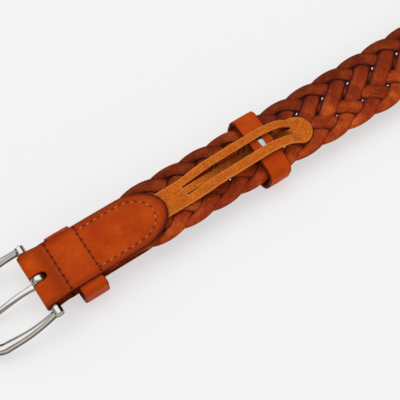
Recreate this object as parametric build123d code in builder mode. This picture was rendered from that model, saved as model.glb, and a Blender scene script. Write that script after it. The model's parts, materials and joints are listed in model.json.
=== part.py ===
"""Braided leather belt with a prong buckle, lying face down on a flat surface.

+X runs along the belt from the buckle to the tip, +Y across it, and +Z up, towards
the wrong side (back) of the belt. The origin is on the surface that the belt lies on,
under the middle of its length. All dimensions are in millimetres.
"""
from build123d import *
from math import asin, atan, atan2, ceil, cos, degrees, hypot, radians, sin
import os

os.makedirs("parts", exist_ok=True)

# ---------------------------------------------------------------- driving dimensions
# Distances along the belt are measured from the axis of the buckle's bar.
belt_length = 1075.0          # bar axis to the end of the tip
leaf_thickness = 1.9          # leather of the buckle tab and the tip
leaf_width = 34.2             # buckle tab and tip, across the belt
fold_width = 35.8             # buckle tab where it goes round the bar
tab_length = 84.0             # bar axis to the end of the buckle tab
tab_nose = 25.0               # length of the tab's rounded end
first_stitch = 12.6           # bar axis to the first cross stitch
second_stitch = 31.8          # bar axis to the second cross stitch
tip_length = 76.0             # visible length of the tip
tip_nose = 22.0               # length of its rounded end

bar_radius = 2.5              # buckle bar
bar_clearance = 0.08          # running fit of leather and prong on the bar
frame_reach = 46.0            # bar axis to the front of the buckle frame
frame_width = 49.0            # buckle frame, outside the arms
rail_width = 6.0              # front rail of the frame
arm_width = 5.5               # arms of the frame beside the rail
arm_end_width = 4.4           # arms where they meet the bar
frame_thickness = 3.6
frame_bevel = 0.9
frame_corner = 13.0           # outer corner radius at the rail
eye_radius = 3.4              # eyes of the arms round the bar
prong_thickness = 2.3
prong_width = 4.4
prong_tip_width = 3.0
prong_overhang = 2.0          # prong beyond the front rail
prong_hump = 1.6              # rise of the shank between the bar and the rail
prong_gap = 0.1               # between the prong and the rail it rests on
prong_nose = 2.5              # bevelled end of the prong
prong_nose_drop = 0.4
prong_slot_width = 5.8
prong_slot_end = 6.1          # bar axis to the end of the slot in the leather

strand_count = 6
strand_width = 9.2
braid_width = 40.4
braid_pitch = 20.0            # from one edge loop to the next along the belt
braid_inset = 4.0             # from the second cross stitch to the strands' cut ends
tip_end_margin = 7.0          # from the strands' cut ends to the end of the tip

strip_thickness = 1.2
strip_root_width = 16.6
strip_width = 17.8
strip_end_diameter = 18.8
strip_end_shift = -3.5        # the free end lies a little towards the near edge
slit_end_shift = -2.8         # the strands' shift where the slits end
slit_start = 98.0
slit_end = 174.5
slit_width = 1.2
slit_overlap = 2.0            # how far the three strands run into the uncut ends
far_strand_width = 4.9
middle_strand_width = 4.6
strip_reach = 186.5           # bar axis to the end of the strip
strip_hidden = 3.0            # root of the strip beyond the first cross stitch

fixed_keeper_width = 15.0
fixed_keeper_outer = 42.8     # across the belt
fixed_keeper_shift = -0.8     # it sits a little towards the near edge
keeper_room = 7.8             # free height under the belt for its tip
fixed_keeper_corner = 3.4
sliding_keeper_start = 146.6
sliding_keeper_width = 14.6
sliding_keeper_outer = 46.8
sliding_keeper_shift = 1.0    # it sits a little towards the far edge
sliding_keeper_thickness = 1.7
sliding_keeper_corner = 4.7
sliding_room = 7.6            # its free height under the braid
sliding_gap = 0.25            # between the sliding keeper and the strip, above and below
sliding_travel = 28.0         # towards the buckle; the slits are level over this stretch
bridge_margin = 1.0           # level stretch beyond the keeper's travel
bridge_ramp = 6.0             # from the level stretch down to the slits' far ends

staple_width = 4.2
staple_length = 12.5
staple_thickness = 0.6
staple_shift = 2.0            # towards the far edge

thread_width = 0.6
thread_height = 0.3
stitch_pitch = 4.6
stitch_length = 3.2
cross_stitch_span = 30.4
edge_inset = 4.0              # edge stitching to the leather's side edges
nose_inset = 8.5              # edge stitching to the leather's rounded end
tab_edge_start = 0.6          # second cross stitch to the edge stitching
tip_edge_start = 3.0          # tip's straight end to its edge stitching

# ---------------------------------------------------------------- derived dimensions
leaf_gap = 2 * (bar_radius + bar_clearance)
braid_thickness = leaf_gap - strip_thickness
layer = braid_thickness / 2
bar_level = strip_thickness / 2               # bar axis above the middle of the braid
tab_top = layer + strip_thickness + leaf_thickness
tab_bottom = -layer - leaf_thickness
keeper_bottom = tab_bottom - keeper_room - layer
keeper_middle = (first_stitch + second_stitch) / 2
keeper_right = keeper_middle + fixed_keeper_width / 2

# The belt slopes from the fixed keeper, which stands on the surface, to the tip.
slope = atan((tab_bottom - thread_height - keeper_bottom) / (belt_length - keeper_right))
braid_level = keeper_right * sin(slope) - keeper_bottom * cos(slope)
bar_height = braid_level + bar_level * cos(slope)

# The buckle hangs from its bar until the prong's tip touches the surface.
prong_reach = frame_reach + prong_overhang
prong_depth = frame_thickness / 2 + prong_gap + prong_thickness
buckle_tilt = asin(bar_height / hypot(prong_reach, prong_depth)) - atan2(prong_depth, prong_reach)

buckle_end = prong_reach * cos(buckle_tilt) - (frame_thickness / 2 + prong_gap) * sin(buckle_tilt)
tip_end = belt_length * cos(slope) + (layer + leaf_thickness) * sin(slope)
bar_x = (buckle_end - tip_end) / 2

# Working planes: the belt's own plane, its side and its cross section.
along = Vector(cos(slope), 0, -sin(slope))
normal = Vector(sin(slope), 0, cos(slope))
belt = Plane(origin=(bar_x, 0, braid_level), x_dir=along, z_dir=normal)
side = Plane(origin=belt.origin, x_dir=along, z_dir=(0, -1, 0))
bar_center = belt.origin + normal * bar_level
buckle_along = Vector(cos(buckle_tilt), 0, sin(buckle_tilt))
buckle_normal = Vector(-sin(buckle_tilt), 0, cos(buckle_tilt))
buckle_plane = Plane(origin=bar_center, x_dir=buckle_along, z_dir=buckle_normal)
buckle_side = Plane(origin=bar_center, x_dir=buckle_along, z_dir=(0, -1, 0))


def cross_section(distance):
    """The plane across the belt at a distance from the bar: X across, Y up."""
    return Plane(origin=belt.origin + along * distance, x_dir=(0, 1, 0), z_dir=along)


def save(piece, name):
    piece.part.label = name
    export_step(piece.part, f"parts/{name}.step")


# ---------------------------------------------------------------- buckle
inner_half = frame_width / 2 - arm_width
rail_back = -frame_reach + rail_width
eye_span = frame_width / 2 - arm_end_width

with BuildPart() as buckle_frame:
    with BuildSketch(buckle_plane.offset(-frame_thickness / 2)) as frame_outline:
        with Locations((-frame_reach / 2, 0)):
            Rectangle(frame_reach, frame_width)
        fillet(frame_outline.vertices().group_by(Axis.X)[0], frame_corner)
        with BuildLine():
            Polyline(
                (0, eye_span),
                (rail_back, inner_half),
                (rail_back, -inner_half),
                (0, -eye_span),
                close=True,
            )
        make_face(mode=Mode.SUBTRACT)
        inner_corners = frame_outline.vertices().filter_by_position(Axis.X, rail_back - 1, rail_back + 1)
        fillet(inner_corners, frame_corner - rail_width)
    extrude(amount=frame_thickness)
    faces = buckle_frame.faces().filter_by(buckle_plane)
    chamfer(faces.edges(), frame_bevel)
    with BuildSketch(buckle_side.offset(eye_span)):
        Circle(eye_radius)
    extrude(amount=arm_end_width)
    with BuildSketch(buckle_side.offset(-eye_span)):
        Circle(eye_radius)
    extrude(amount=-arm_end_width)
    with BuildSketch(buckle_side):
        Circle(bar_radius)
    extrude(amount=frame_width / 2 + 1, both=True, mode=Mode.SUBTRACT)
save(buckle_frame, "buckle_frame")

with BuildPart() as buckle_bar:
    with BuildSketch(buckle_side):
        Circle(bar_radius)
    extrude(amount=frame_width / 2, both=True)
save(buckle_bar, "buckle_bar")

# The prong is a flat bar curled over the buckle's bar, with its cut end on top.
curl_inner = bar_radius + bar_clearance
curl_outer = curl_inner + prong_thickness
curl_end = 150.0
rail_level = -frame_thickness / 2 - prong_gap
shank_end = rail_back + 1.5
hump_x = -0.32 * prong_reach
with BuildPart() as prong:
    with BuildSketch(buckle_side):
        with BuildLine():
            CenterArc((0, 0), curl_outer, -90, curl_end + 90)
            Line(
                (curl_outer * cos(radians(curl_end)), curl_outer * sin(radians(curl_end))),
                (curl_inner * cos(radians(curl_end)), curl_inner * sin(radians(curl_end))),
            )
            CenterArc((0, 0), curl_inner, curl_end, -curl_end - 90)
            Spline(
                (0, -curl_inner),
                (hump_x, -curl_inner + prong_hump),
                (shank_end, rail_level),
                tangents=((-1, 0), (-1, 0)),
            )
            Polyline(
                (shank_end, rail_level),
                (-prong_reach + prong_nose, rail_level),
                (-prong_reach, rail_level - prong_nose_drop),
                (-prong_reach, rail_level - prong_thickness),
                (shank_end, rail_level - prong_thickness),
            )
            Spline(
                (shank_end, rail_level - prong_thickness),
                (hump_x, -curl_outer + prong_hump),
                (0, -curl_outer),
                tangents=((1, 0), (1, 0)),
            )
        make_face()
    extrude(amount=prong_width / 2, both=True)
    with BuildSketch(buckle_plane.offset(-3 * prong_width)):
        with BuildLine():
            Polyline(
                (curl_outer, -prong_width / 2),
                (hump_x, -prong_width / 2),
                (-prong_reach, -prong_tip_width / 2),
                (-prong_reach, prong_tip_width / 2),
                (hump_x, prong_width / 2),
                (curl_outer, prong_width / 2),
                close=True,
            )
        make_face()
    extrude(amount=6 * prong_width, mode=Mode.INTERSECT)
save(prong, "prong")


# ---------------------------------------------------------------- leather tabs
def tab_outline():
    """Plan of one leaf of the buckle tab: flared at the fold, rounded at its end."""
    straight_end = tab_length - tab_nose
    with BuildLine() as outline:
        Polyline(
            (0, -fold_width / 2),
            (first_stitch, -leaf_width / 2),
            (straight_end, -leaf_width / 2),
            (straight_end, leaf_width / 2),
            (first_stitch, leaf_width / 2),
            (0, fold_width / 2),
            close=True,
        )
    make_face(outline.edges())
    with Locations((straight_end, 0)):
        Ellipse(tab_nose, leaf_width / 2)


with BuildPart() as buckle_tab:
    with BuildSketch(belt.offset(tab_bottom)):
        tab_outline()
    extrude(amount=leaf_thickness)
    with BuildSketch(belt.offset(tab_top - leaf_thickness)):
        tab_outline()
    extrude(amount=leaf_thickness)
    with BuildSketch(side):
        with Locations((0, bar_level)):
            Circle(leaf_gap / 2 + leaf_thickness)
            Circle(leaf_gap / 2, mode=Mode.SUBTRACT)
        with Locations((leaf_gap, bar_level)):
            Rectangle(2 * leaf_gap, 3 * leaf_gap, mode=Mode.SUBTRACT)
    extrude(amount=fold_width / 2, both=True)
    with BuildSketch(belt.offset(2 * tab_bottom)):
        with Locations((prong_slot_end - prong_slot_width / 2, 0)):
            Circle(prong_slot_width / 2)
        with Locations((prong_slot_end - prong_slot_width / 2 - leaf_gap, 0)):
            Rectangle(2 * leaf_gap, prong_slot_width)
    extrude(amount=-4 * tab_bottom, mode=Mode.SUBTRACT)
save(buckle_tab, "buckle_tab")


def tip_outline():
    straight_end = belt_length - tip_nose
    straight = tip_length - tip_nose
    with Locations((straight_end - straight / 2, 0)):
        Rectangle(straight, leaf_width)
    with Locations((straight_end, 0)):
        Ellipse(tip_nose, leaf_width / 2)


with BuildPart() as tip_face:
    with BuildSketch(belt.offset(-layer - leaf_thickness)):
        tip_outline()
    extrude(amount=leaf_thickness)
save(tip_face, "tip_face")

with BuildPart() as tip_lining:
    with BuildSketch(belt.offset(layer)):
        tip_outline()
    extrude(amount=leaf_thickness)
save(tip_lining, "tip_lining")

# ---------------------------------------------------------------- braid
# A strand runs from edge to edge three pitches at a time: above when it goes to the
# far edge, below when it comes back, and through both layers where it turns.
run = braid_pitch * strand_count / 2
turn_y = braid_width / 2 - strand_width / 2
run_angle = atan(2 * turn_y / run)
half_height = strand_width / 2 / cos(run_angle)
turn_half = 4.0
turn_gap = 1.0                # each layer stops short of the middle of the turn
turn_inner = turn_y - 2.5
braid_start = second_stitch + braid_inset
braid_end = belt_length - tip_end_margin
hidden_width = leaf_width - 1.0


def strand_run(start, direction):
    """Plan of one run of a strand, from an edge at start to the other edge."""
    with BuildLine() as outline:
        Polyline(
            (start, -direction * turn_y - half_height),
            (start + run, direction * turn_y - half_height),
            (start + run, direction * turn_y + half_height),
            (start, -direction * turn_y + half_height),
            close=True,
        )
    make_face(outline.edges())
    with Locations((start + run / 2, 0)):
        Rectangle(run - 2 * turn_gap, braid_width, mode=Mode.INTERSECT)


def make_strand(number):
    first_turn = braid_start - 2 * run + number * braid_pitch
    runs = ceil((braid_end - first_turn) / run)
    with BuildPart() as strand:
        for step in range(runs):
            start = first_turn + step * run
            direction = 1 if step % 2 == 0 else -1
            base = 0 if direction > 0 else -layer
            with BuildSketch(belt.offset(base)):
                strand_run(start, direction)
            extrude(amount=layer)
            with BuildSketch(belt.offset(-layer)):
                with Locations((start + run, direction * (turn_inner + braid_width / 2) / 2)):
                    Rectangle(2 * turn_half, braid_width / 2 - turn_inner)
            extrude(amount=2 * layer)
        with BuildSketch(belt.offset(-layer)):
            with Locations(((braid_start + braid_end) / 2, 0)):
                Rectangle(braid_end - braid_start, hidden_width)
            with Locations(((tab_length - tab_nose + belt_length - tip_length) / 2, 0)):
                Rectangle(belt_length - tip_length - tab_length + tab_nose, braid_width)
        extrude(amount=2 * layer, mode=Mode.INTERSECT)
    save(strand, f"braid_strand_{number + 1}")


for number in range(strand_count):
    make_strand(number)

# ---------------------------------------------------------------- slotted strip
# Two slits make three strands: the middle one stays on the braid, under the sliding
# keeper, and the outer two bridge it.
keeper_under = layer + strip_thickness + sliding_gap
keeper_top = keeper_under + sliding_keeper_thickness
bridge_level = keeper_top + staple_thickness + sliding_gap
strip_root = first_stitch - strip_hidden
end_center = strip_reach - strip_end_diameter / 2
keeper_end = sliding_keeper_start + sliding_keeper_width
bridge_start = sliding_keeper_start - sliding_travel - bridge_margin
bridge_end = slit_end - bridge_ramp
near_strand_width = strip_width - far_strand_width - middle_strand_width - 2 * slit_width
middle_top = strip_width / 2 - far_strand_width - slit_width
middle_bottom = middle_top - middle_strand_width


def band(start, end, start_y, end_y, start_width, end_width):
    """A straight-sided band between two places along the belt, given by its middle."""
    with BuildLine() as outline:
        Polyline(
            (start, start_y - start_width / 2),
            (end, end_y - end_width / 2),
            (end, end_y + end_width / 2),
            (start, start_y + start_width / 2),
            close=True,
        )
    make_face(outline.edges())


def strand_outline(middle, width):
    """One of the three strands: straight to the keeper, then veering with the end."""
    band(slit_start - slit_overlap, keeper_end, middle, middle, width, width)
    band(keeper_end, slit_end + slit_overlap, middle, middle + slit_end_shift, width, width)


with BuildPart() as slotted_strip:
    with BuildSketch(belt):
        strand_outline(strip_width / 2 - far_strand_width / 2, far_strand_width)
        strand_outline(near_strand_width / 2 - strip_width / 2, near_strand_width)
    extrude(amount=2 * bridge_level)
    with BuildSketch(side):
        with BuildLine():
            Polyline(
                (slit_start - slit_overlap, layer),
                (slit_start, layer),
                (bridge_start, bridge_level),
                (bridge_end, bridge_level),
                (slit_end, layer),
                (slit_end + slit_overlap, layer),
                (slit_end + slit_overlap, layer + strip_thickness),
                (slit_end, layer + strip_thickness),
                (bridge_end, bridge_level + strip_thickness),
                (bridge_start, bridge_level + strip_thickness),
                (slit_start, layer + strip_thickness),
                (slit_start - slit_overlap, layer + strip_thickness),
                close=True,
            )
        make_face()
    extrude(amount=strip_width, both=True, mode=Mode.INTERSECT)
    with BuildSketch(belt.offset(layer)):
        band(strip_root, slit_start, 0, 0, strip_root_width, strip_width)
        strand_outline((middle_top + middle_bottom) / 2, middle_strand_width)
        with Locations((end_center, strip_end_shift)):
            Circle(strip_end_diameter / 2)
        band(slit_end, end_center, slit_end_shift, strip_end_shift, strip_width, strip_end_diameter)
    extrude(amount=strip_thickness)
save(slotted_strip, "slotted_strip")

# ---------------------------------------------------------------- keepers and staple
with BuildPart() as fixed_keeper:
    with BuildSketch(cross_section(keeper_middle - fixed_keeper_width / 2)):
        with Locations((fixed_keeper_shift, (layer + keeper_bottom) / 2)):
            RectangleRounded(fixed_keeper_outer, layer - keeper_bottom, fixed_keeper_corner)
        with Locations((fixed_keeper_shift, keeper_bottom / 2)):
            RectangleRounded(
                fixed_keeper_outer - 2 * layer,
                -keeper_bottom - 2 * layer,
                fixed_keeper_corner - layer,
                mode=Mode.SUBTRACT,
            )
    extrude(amount=fixed_keeper_width)
save(fixed_keeper, "fixed_keeper")

sliding_bottom = -layer - sliding_room
with BuildPart() as sliding_keeper:
    with BuildSketch(cross_section(sliding_keeper_start)):
        with Locations((sliding_keeper_shift, (keeper_top + sliding_bottom - sliding_keeper_thickness) / 2)):
            RectangleRounded(
                sliding_keeper_outer,
                keeper_top - sliding_bottom + sliding_keeper_thickness,
                sliding_keeper_corner,
            )
        with Locations((sliding_keeper_shift, (keeper_under + sliding_bottom) / 2)):
            RectangleRounded(
                sliding_keeper_outer - 2 * sliding_keeper_thickness,
                keeper_under - sliding_bottom,
                sliding_keeper_corner - sliding_keeper_thickness,
                mode=Mode.SUBTRACT,
            )
    extrude(amount=sliding_keeper_width)
    with BuildSketch(belt.offset(keeper_under)):
        with Locations((sliding_keeper_start + sliding_keeper_width / 2, staple_shift)):
            with GridLocations(0, staple_length - staple_thickness, 1, 2):
                Rectangle(staple_width, staple_thickness)
    extrude(amount=sliding_keeper_thickness, mode=Mode.SUBTRACT)
save(sliding_keeper, "sliding_keeper")

with BuildPart() as keeper_staple:
    with BuildSketch(belt.offset(keeper_top)):
        with Locations((sliding_keeper_start + sliding_keeper_width / 2, staple_shift)):
            Rectangle(staple_width, staple_length)
    extrude(amount=staple_thickness)
    with BuildSketch(belt.offset(keeper_under)):
        with Locations((sliding_keeper_start + sliding_keeper_width / 2, staple_shift)):
            with GridLocations(0, staple_length - staple_thickness, 1, 2):
                Rectangle(staple_width, staple_thickness)
    extrude(amount=sliding_keeper_thickness)
save(keeper_staple, "keeper_staple")


# ---------------------------------------------------------------- stitching
def nose_points(center_x, nose, half_width):
    """Evenly spaced stitches round an elliptical end, each with its direction."""
    count = round((nose + half_width) * 1.6 / stitch_pitch)
    points = []
    for index in range(count):
        angle = radians(-90 + 180 * (index + 0.5) / count)
        place = (center_x + nose * cos(angle), half_width * sin(angle))
        heading = degrees(atan2(half_width * cos(angle), -nose * sin(angle)))
        points.append((place, heading))
    return points


def make_stitching(name, stitches, levels):
    """Thread laid on both faces of the leather; each stitch is one small solid."""
    with BuildPart() as thread:
        for level in levels:
            with BuildSketch(belt.offset(level)):
                for place, heading in stitches:
                    with Locations(Location((place[0], place[1], 0), (0, 0, heading))):
                        Rectangle(stitch_length, thread_width)
            extrude(amount=thread_height)
    save(thread, name)


tab_levels = (tab_top, tab_bottom - thread_height)
cross_count = round(cross_stitch_span / stitch_pitch)
cross_places = [(index - (cross_count - 1) / 2) * stitch_pitch for index in range(cross_count)]
make_stitching("cross_stitch_1", [((first_stitch, y), 90) for y in cross_places], tab_levels)
make_stitching("cross_stitch_2", [((second_stitch, y), 90) for y in cross_places], tab_levels)


def edge_stitches(start, straight_end, nose):
    """Edge stitching along both sides of a tab and round its end."""
    half = leaf_width / 2 - edge_inset
    count = int((straight_end - start) / stitch_pitch)
    stitches = []
    for sign in (-1, 1):
        for index in range(count):
            stitches.append(((start + (index + 0.5) * stitch_pitch, sign * half), 0))
    return stitches + nose_points(straight_end, nose - nose_inset, half)


tab_edge = edge_stitches(second_stitch + tab_edge_start, tab_length - tab_nose, tab_nose)
make_stitching("tab_edge_stitch", tab_edge, tab_levels)
tip_edge = edge_stitches(belt_length - tip_length + tip_edge_start, belt_length - tip_nose, tip_nose)
make_stitching("tip_edge_stitch", tip_edge, (layer + leaf_thickness, -layer - leaf_thickness - thread_height))

print("bar center", *bar_center)
print("slope", degrees(slope))
print("buckle tilt", degrees(buckle_tilt))
print("keeper travel", bridge_end - keeper_end)
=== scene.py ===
"""Looks of the braided leather belt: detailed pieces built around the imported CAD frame.
"""
import bmesh
import bpy
import json
import math
import numpy as np
from mathutils import Matrix, Vector


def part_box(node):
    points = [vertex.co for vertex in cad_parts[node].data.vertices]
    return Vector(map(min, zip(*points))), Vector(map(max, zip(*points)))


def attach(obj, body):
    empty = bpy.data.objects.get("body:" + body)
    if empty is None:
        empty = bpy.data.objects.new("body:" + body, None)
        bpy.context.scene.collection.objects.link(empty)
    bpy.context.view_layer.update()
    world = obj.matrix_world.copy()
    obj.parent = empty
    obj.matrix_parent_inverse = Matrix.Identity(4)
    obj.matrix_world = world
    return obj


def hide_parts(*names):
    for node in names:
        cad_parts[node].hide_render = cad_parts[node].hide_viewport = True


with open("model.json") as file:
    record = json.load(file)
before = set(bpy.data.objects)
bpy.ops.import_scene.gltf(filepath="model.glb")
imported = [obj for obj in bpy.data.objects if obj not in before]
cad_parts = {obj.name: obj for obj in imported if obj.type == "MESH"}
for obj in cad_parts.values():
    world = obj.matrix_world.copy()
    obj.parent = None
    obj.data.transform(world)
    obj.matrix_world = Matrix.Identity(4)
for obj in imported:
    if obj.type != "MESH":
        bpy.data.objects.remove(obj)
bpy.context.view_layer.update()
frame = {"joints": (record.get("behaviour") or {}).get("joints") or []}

MM = 0.001
JOINTS = {joint["name"]: joint for joint in frame["joints"]}
BAR = Vector(JOINTS["buckle_hinge"]["pos_m"])
ALONG = Vector(JOINTS["keeper_slide"]["axis"]).normalized()
ACROSS = Vector((0, 1, 0))
NORMAL = ALONG.cross(ACROSS)

# ---------------------------------------------------------------- sizes shared with the CAD part
LEAF = 1.9 * MM
BAR_RADIUS = 2.5 * MM
FOLD_INNER = BAR_RADIUS + 0.08 * MM
STRIP_THICKNESS = 1.2 * MM
BAR_LEVEL = STRIP_THICKNESS / 2
LAYER = FOLD_INNER - STRIP_THICKNESS / 2
TAB_TOP = LAYER + STRIP_THICKNESS + LEAF
TAB_BOTTOM = -LAYER - LEAF
ORIGIN = BAR - NORMAL * BAR_LEVEL


def u_range(node):
    """Where a CAD node starts and ends along the belt."""
    low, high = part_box(node)
    return low.x - ORIGIN.x, high.x - ORIGIN.x


def v_range(node):
    """Where a CAD node starts and ends across the belt."""
    low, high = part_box(node)
    return low.y, high.y


def middle_u(node):
    return sum(u_range(node)) / 2


def across_size(node):
    low, high = v_range(node)
    return high - low


TIP_START, BELT_END = u_range("tip_face")
TAB_END = u_range("buckle_tab")[1]
FIRST_STITCH = middle_u("cross_stitch_1")
SECOND_STITCH = middle_u("cross_stitch_2")
BRAID_START, BRAID_END = u_range("braid_strand_1")
STRIP_END = u_range("slotted_strip")[1]
LEAF_WIDTH = 34.2 * MM
FOLD_WIDTH = across_size("buckle_tab")
BRAID_WIDTH = across_size("braid_strand_1")


# ---------------------------------------------------------------- mesh helpers
def to_row(points):
    """Belt coordinates to the row frame."""
    axes = np.array([ALONG, ACROSS, NORMAL])
    return np.asarray(points) @ axes + np.array(ORIGIN)


def make_object(name, points, faces, uvs=None, values=None, smooth=True):
    """A mesh object from points in the row frame. uvs and values are given per point."""
    mesh = bpy.data.meshes.new(name)
    mesh.from_pydata([tuple(p) for p in points], [], faces)
    if uvs is not None:
        layer = mesh.uv_layers.new(name="UVMap")
        corner = np.empty(len(mesh.loops), np.int32)
        mesh.loops.foreach_get("vertex_index", corner)
        layer.data.foreach_set("uv", np.asarray(uvs, np.float32)[corner].ravel())
    for key, data in (values or {}).items():
        attribute = mesh.attributes.new(key, "FLOAT", "POINT")
        attribute.data.foreach_set("value", np.asarray(data, np.float32))
    if smooth:
        mesh.polygons.foreach_set("use_smooth", [True] * len(mesh.polygons))
    mesh.update()
    piece = bpy.data.objects.new(name, mesh)
    bpy.context.scene.collection.objects.link(piece)
    return piece


def grid_faces(rows, columns, wrap_rows=False, wrap_columns=False):
    """Quads of a grid of points stored row by row."""
    faces = []
    for r in range(rows if wrap_rows else rows - 1):
        for c in range(columns if wrap_columns else columns - 1):
            r2 = (r + 1) % rows
            c2 = (c + 1) % columns
            faces.append((r * columns + c, r * columns + c2, r2 * columns + c2, r2 * columns + c))
    return faces


def tube_faces(rows, columns, closed=False):
    """Faces of a tube of rings: closed on itself, or with a cap at each end."""
    faces = grid_faces(rows, columns, wrap_rows=closed, wrap_columns=True)
    if not closed:
        faces += [list(range(columns))[::-1], list(range((rows - 1) * columns, rows * columns))]
    return faces


def around(top, bottom=None):
    """Values along the top of every ring, then back along its bottom, without the shared ends."""
    bottom = top if bottom is None else bottom
    return np.concatenate([top, bottom[:, -2:0:-1]], 1)


def ring_object(name, rings, along, across, values, closed=False):
    """A mesh object from rings of belt coordinates. along and across are its UVs, in metres."""
    rows, ring = rings.shape[:2]
    faces = tube_faces(rows, ring, closed)
    uvs = np.stack(np.broadcast_arrays(along[:, None], across), -1).reshape(-1, 2)
    values = {key: np.broadcast_to(data, (rows, ring)).ravel() for key, data in values.items()}
    return outward(make_object(name, to_row(rings.reshape(-1, 3)), faces, uvs, values))


def edit_mesh(piece, change):
    """Make a change to a piece's mesh through bmesh."""
    work = bmesh.new()
    work.from_mesh(piece.data)
    change(work)
    work.to_mesh(piece.data)
    work.free()
    return piece


def outward(piece):
    """Point every normal outwards."""
    return edit_mesh(piece, lambda work: bmesh.ops.recalc_face_normals(work, faces=work.faces))


def smoothstep(x, low, high):
    """0 below low, 1 above high, and an easy curve between."""
    t = np.clip((np.asarray(x, float) - low) / (high - low), 0, 1)
    return t * t * (3 - 2 * t)


def bell(distance, width):
    """1 at distance 0, fading away over about a width."""
    return np.exp(-(distance / width) ** 2)


def shares(count):
    """Places from -1 to 1 across a piece, closer together at its edges."""
    return np.sin(np.linspace(-np.pi / 2, np.pi / 2, count))


def route_length(points):
    """Distance of each point of a route from its start."""
    return np.concatenate([[0], np.cumsum(np.hypot(*np.diff(points, axis=0).T))])


def resample(points, places):
    """Points of a route at given distances from its start."""
    length = route_length(points)
    return np.stack([np.interp(places, length, points[:, k]) for k in (0, 1)], -1)


def route_normals(points):
    """Unit normals of a route in a plane, to the left of its way."""
    tangent = np.gradient(points, axis=0)
    tangent /= np.linalg.norm(tangent, axis=1)[:, None]
    return np.stack([-tangent[:, 1], tangent[:, 0]], -1)


# ---------------------------------------------------------------- material helpers
def rgba(color):
    """A node's output as it is, or a plain colour with its alpha."""
    return color if isinstance(color, bpy.types.NodeSocket) else (*color, 1)


class Nodes:
    """A small wrapper that adds and links the shader nodes of a material or a world by short calls."""

    def __init__(self, owner):
        owner.use_nodes = True
        self.owner = owner
        self.tree = owner.node_tree

    def add(self, kind, **inputs):
        node = self.tree.nodes.new(kind)
        for key, value in inputs.items():
            self.put(node, key.replace("_", " "), value)
        return node

    def put(self, node, socket, value):
        target = node.inputs[socket]
        if isinstance(value, bpy.types.NodeSocket):
            self.tree.links.new(value, target)
        else:
            target.default_value = value

    def coords(self):
        return self.add("ShaderNodeTexCoord").outputs["Object"]

    def uv(self):
        return self.add("ShaderNodeTexCoord").outputs["UV"]

    def value(self, name):
        node = self.add("ShaderNodeAttribute")
        node.attribute_name = name
        return node.outputs["Fac"]

    def noise(self, vector, scale, detail=4.0, roughness=0.55, distortion=0.0):
        node = self.add("ShaderNodeTexNoise", Vector=vector, Scale=scale, Detail=detail,
                        Roughness=roughness, Distortion=distortion)
        return node.outputs["Fac"]

    def stretched(self, vector, factors):
        return self.add("ShaderNodeMapping", Vector=vector, Scale=factors).outputs["Vector"]

    def cells(self, vector, scale):
        return self.add("ShaderNodeTexVoronoi", Vector=vector, Scale=scale).outputs["Distance"]

    def ramp(self, factor, stops):
        node = self.add("ShaderNodeValToRGB", Fac=factor)
        elements = node.color_ramp.elements
        while len(elements) < len(stops):
            elements.new(0.5)
        for element, (position, color) in zip(elements, stops):
            element.position = position
            element.color = rgba(color)
        return node.outputs["Color"]

    def mix(self, factor, a, b):
        node = self.add("ShaderNodeMix")
        node.data_type = "RGBA"
        for socket, value in ((0, factor), (6, rgba(a)), (7, rgba(b))):
            self.put(node, socket, value)
        return node.outputs[2]

    def math(self, operation, a, b=0.0, clamp=False):
        node = self.add("ShaderNodeMath")
        node.operation = operation
        node.use_clamp = clamp
        self.put(node, 0, a)
        self.put(node, 1, b)
        return node.outputs[0]

    def remap(self, value, low, high, to_low=0.0, to_high=1.0):
        node = self.add("ShaderNodeMapRange", Value=value, From_Min=low, From_Max=high,
                        To_Min=to_low, To_Max=to_high)
        return node.outputs["Result"]

    def bump(self, height, distance, strength=1.0, normal=None):
        node = self.add("ShaderNodeBump", Height=height, Distance=distance, Strength=strength)
        if normal is not None:
            self.put(node, "Normal", normal)
        return node.outputs["Normal"]

    def finish(self, color, roughness, normal=None, **constants):
        """Set a material's shader and return the material."""
        inputs = {"Base Color": rgba(color), "Roughness": roughness, **constants}
        if normal is not None:
            inputs["Normal"] = normal
        for key, value in inputs.items():
            self.put(self.tree.nodes["Principled BSDF"], key.replace("_", " "), value)
        return self.owner


def material_nodes(name):
    return Nodes(bpy.data.materials.new(name))


# ---------------------------------------------------------------- materials
def smooth_leather(name, light, dark, edge):
    """Vegetable-tanned leather: mottled, fine pores, darker towards its rim, with painted shade in every pit
    and in a crease.
    """
    n = material_nodes(name)
    place = n.coords()
    broad = n.noise(place, 60, 5, 0.6)
    mottle = n.noise(place, 420, 4, 0.65)
    color = n.ramp(broad, [(0.34, dark), (0.66, light)])
    color = n.mix(n.remap(mottle, 0.40, 0.70, 0.0, 0.65), color, dark)
    # Darker towards the cut rim; the same mark carries the painted shade in the crease by the tab's fold.
    color = n.mix(n.math("MULTIPLY", n.value("rim"), 0.85), color, [c * 0.62 for c in dark])
    pores = n.cells(place, 2600)
    fine = n.noise(place, 5200, 3, 0.6)
    ragged = n.remap(n.noise(place, 900, 3), 0.25, 0.7, 0.75, 1.0)
    color = n.mix(n.math("MULTIPLY", n.value("edge"), ragged, True), color, edge)
    # Painted shade in the pits that the thread pulls in.
    color = n.mix(n.math("MULTIPLY", n.value("pit"), 0.9, True), color, [c * 0.5 for c in edge])
    height = n.math("ADD", n.remap(pores, 0.0, 0.5, 0.0, 0.6), n.math("MULTIPLY", fine, 0.5))
    normal = n.bump(height, 0.00010, 0.7)
    normal = n.bump(n.noise(place, 170, 4, 0.6), 0.0006, 0.35, normal)
    rough = n.remap(mottle, 0.3, 0.75, 0.34, 0.50)
    return n.finish(color, rough, normal, Specular_IOR_Level=0.04)


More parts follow.
